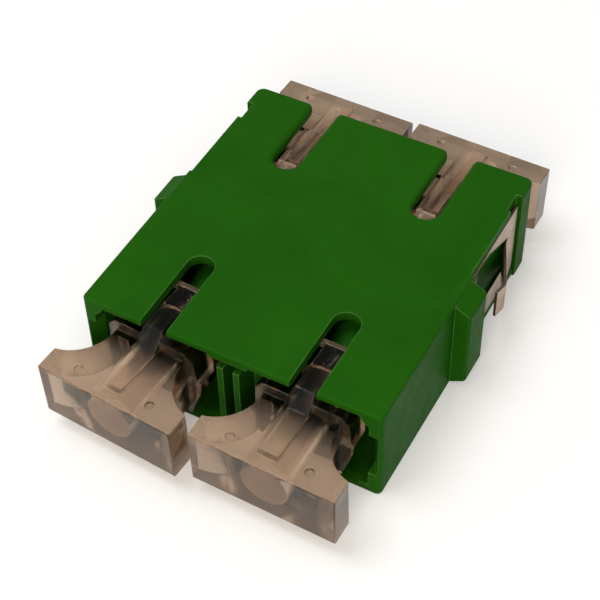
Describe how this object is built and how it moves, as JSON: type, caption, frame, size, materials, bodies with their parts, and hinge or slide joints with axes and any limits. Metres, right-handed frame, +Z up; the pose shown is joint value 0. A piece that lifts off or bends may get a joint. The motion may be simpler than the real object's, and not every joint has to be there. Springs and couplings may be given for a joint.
{
  "type": "fibre optic adapter",
  "caption": "Flat duplex fibre optic adapter: a green moulded body with two square ports, key slots, side ears and spring clips, closed at both ends by clear smoky dust caps.",
  "frame": {"origin": "under the middle of the body, on the plane of its flat underside", "axes": "+X across the two ports to the right, +Y along the ports to the rear, +Z up through the wall with the key slots"},
  "size_m": [0.0288, 0.0389, 0.0093],
  "materials": {
    "green_body": "satin moulded green plastic",
    "green_holder": "satin moulded green plastic",
    "clip_steel": "stamped spring steel, dull",
    "white_ceramic": "polished zirconia",
    "smoky_cap": "clear smoky moulded plastic"
  },
  "bodies": {
    "adapter": {"adapter_body": "green_body", "left_clip": "clip_steel", "right_clip": "clip_steel", "front_left_holder": "green_holder", "front_right_holder": "green_holder", "rear_left_holder": "green_holder", "rear_right_holder": "green_holder", "left_sleeve": "white_ceramic", "right_sleeve": "white_ceramic"},
    "front_left_cap_body": {"front_left_cap": "smoky_cap"},
    "front_right_cap_body": {"front_right_cap": "smoky_cap"},
    "rear_left_cap_body": {"rear_left_cap": "smoky_cap"},
    "rear_right_cap_body": {"rear_right_cap": "smoky_cap"}
  },
  "joints": [
    {"name": "front_left_cap_slide", "type": "slide", "parent": "adapter", "child": "front_left_cap_body", "axis": [0, -1, 0], "range_m": [-0.0019, 0.006]},
    {"name": "front_right_cap_slide", "type": "slide", "parent": "adapter", "child": "front_right_cap_body", "axis": [0, -1, 0], "range_m": [-0.0019, 0.006]},
    {"name": "rear_left_cap_slide", "type": "slide", "parent": "adapter", "child": "rear_left_cap_body", "axis": [0, 1, 0], "range_m": [0, 0.00825]},
    {"name": "rear_right_cap_slide", "type": "slide", "parent": "adapter", "child": "rear_right_cap_body", "axis": [0, 1, 0], "range_m": [0, 0.00825]}
  ]
}
